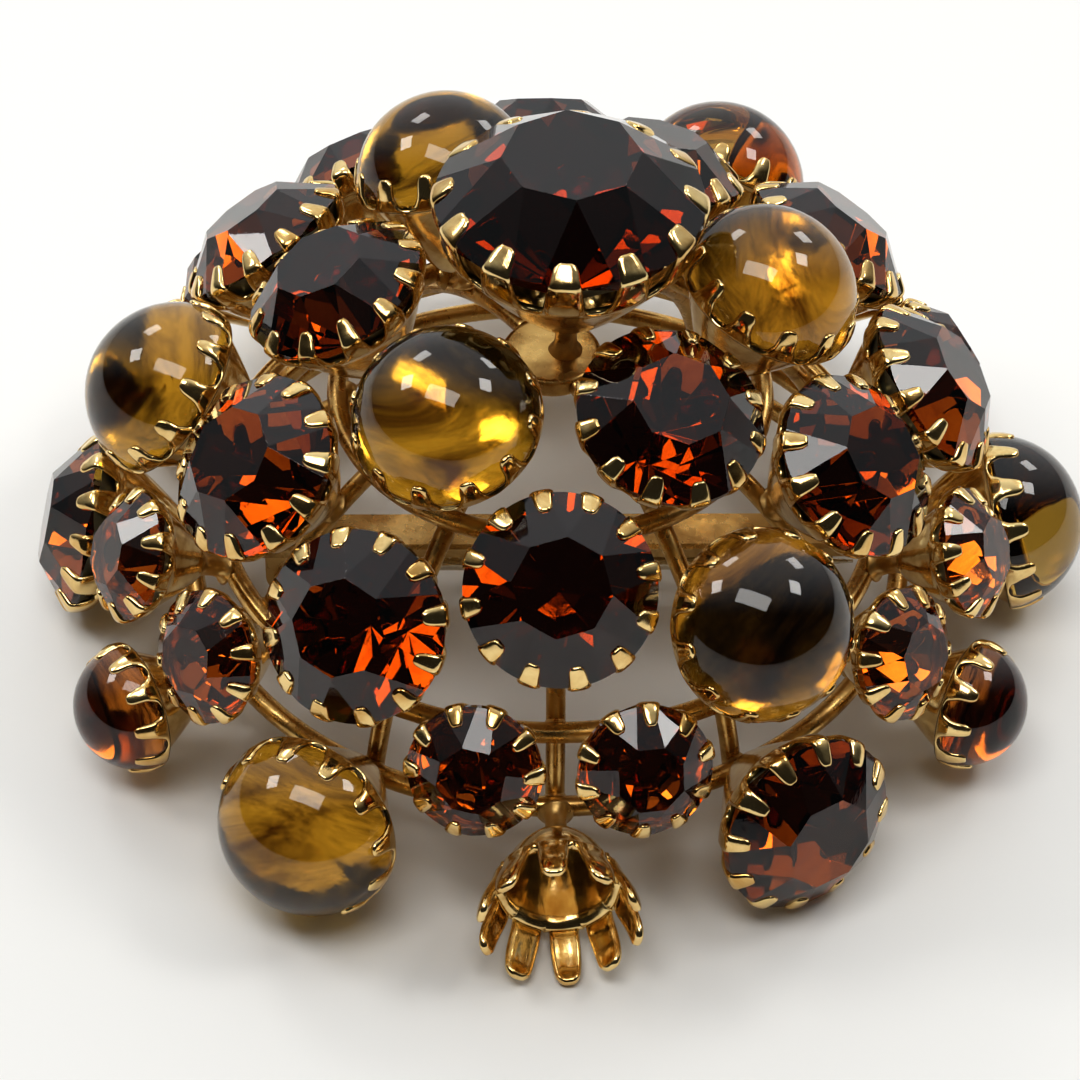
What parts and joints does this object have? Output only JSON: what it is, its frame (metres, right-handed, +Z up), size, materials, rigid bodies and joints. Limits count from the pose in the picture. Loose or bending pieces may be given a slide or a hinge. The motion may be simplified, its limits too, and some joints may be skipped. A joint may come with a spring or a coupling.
{
  "type": "domed brooch",
  "caption": "High-domed openwork costume brooch of faceted glass chatons and glass cabochons in claw cups on a wire frame, with a hinged pin and a rollover catch.",
  "frame": {"origin": "on the pin stem's axis, straight under the top of the dome; the base plane on which the lowest cups rest is 2.3 mm below", "axes": "+Z up through the top stone, -Y to the front where the empty cup is, +X along the pin from its hinge to its catch"},
  "size_m": [0.0625, 0.0611, 0.0337],
  "materials": {
    "chaton_glass": "polished dark red-brown foil-backed glass, faceted",
    "cabochon_glass": "polished honey-brown foil-backed glass, domed",
    "gold_cups": "polished yellow gold plate on stamped brass",
    "gold_frame": "gold plate on drawn brass wire, slightly dull",
    "gold_fittings": "satin gold plate on brass",
    "pin_wire": "gold-washed spring steel wire"
  },
  "bodies": {
    "setting": {"base_hoop": "gold_frame", "catch_body": "gold_fittings", "column_ribs": "gold_frame", "empty_cup": "gold_cups", "gap_ribs": "gold_frame", "hinge_bracket": "gold_fittings", "hinge_rivet": "pin_wire", "hub": "gold_frame", "lower_cabochon_2": "cabochon_glass", "lower_cabochon_4": "cabochon_glass", "lower_cabochon_6": "cabochon_glass", "lower_chaton_1": "chaton_glass", "lower_chaton_3": "chaton_glass", "lower_chaton_5": "chaton_glass", "lower_cups": "gold_cups", "middle_cabochon_1": "cabochon_glass", "middle_cabochon_3": "cabochon_glass", "middle_cabochon_5": "cabochon_glass", "middle_chaton_2": "chaton_glass", "middle_chaton_4": "chaton_glass", "middle_chaton_6": "chaton_glass", "middle_cups": "gold_cups", "middle_hoop": "gold_frame", "pin_bar": "gold_fittings", "shoulder_chaton_1": "chaton_glass", "shoulder_chaton_2": "chaton_glass", "shoulder_chaton_3": "chaton_glass", "shoulder_chaton_4": "chaton_glass", "shoulder_chaton_5": "chaton_glass", "shoulder_chaton_6": "chaton_glass", "shoulder_cups": "gold_cups", "small_cabochon_1": "cabochon_glass", "small_cabochon_2": "cabochon_glass", "small_cabochon_3": "cabochon_glass", "small_cabochon_4": "cabochon_glass", "small_cabochon_5": "cabochon_glass", "small_cabochon_cups": "gold_cups", "small_chaton_cups": "gold_cups", "small_chaton_pair_1": "chaton_glass", "small_chaton_pair_2": "chaton_glass", "small_chaton_pair_3": "chaton_glass", "small_chaton_pair_4": "chaton_glass", "small_chaton_pair_5": "chaton_glass", "small_chaton_pair_6": "chaton_glass", "top_cup": "gold_cups", "top_stone": "chaton_glass", "upper_cabochon_2": "cabochon_glass", "upper_cabochon_4": "cabochon_glass", "upper_cabochon_6": "cabochon_glass", "upper_chaton_1": "chaton_glass", "upper_chaton_3": "chaton_glass", "upper_chaton_5": "chaton_glass", "upper_cups": "gold_cups", "upper_hoop": "gold_frame"},
    "pin": {"pin_stem": "pin_wire"},
    "barrel": {"catch_barrel": "gold_fittings"}
  },
  "joints": [
    {"name": "pin_swing", "type": "hinge", "parent": "setting", "child": "pin", "pos_m": [-0.0155, 0, 0], "axis": [0, 1, 0], "range_deg": [0, 100]},
    {"name": "catch_roll", "type": "hinge", "parent": "setting", "child": "barrel", "pos_m": [0.0155, 0, 0], "axis": [1, 0, 0], "range_deg": [0, 75]}
  ]
}
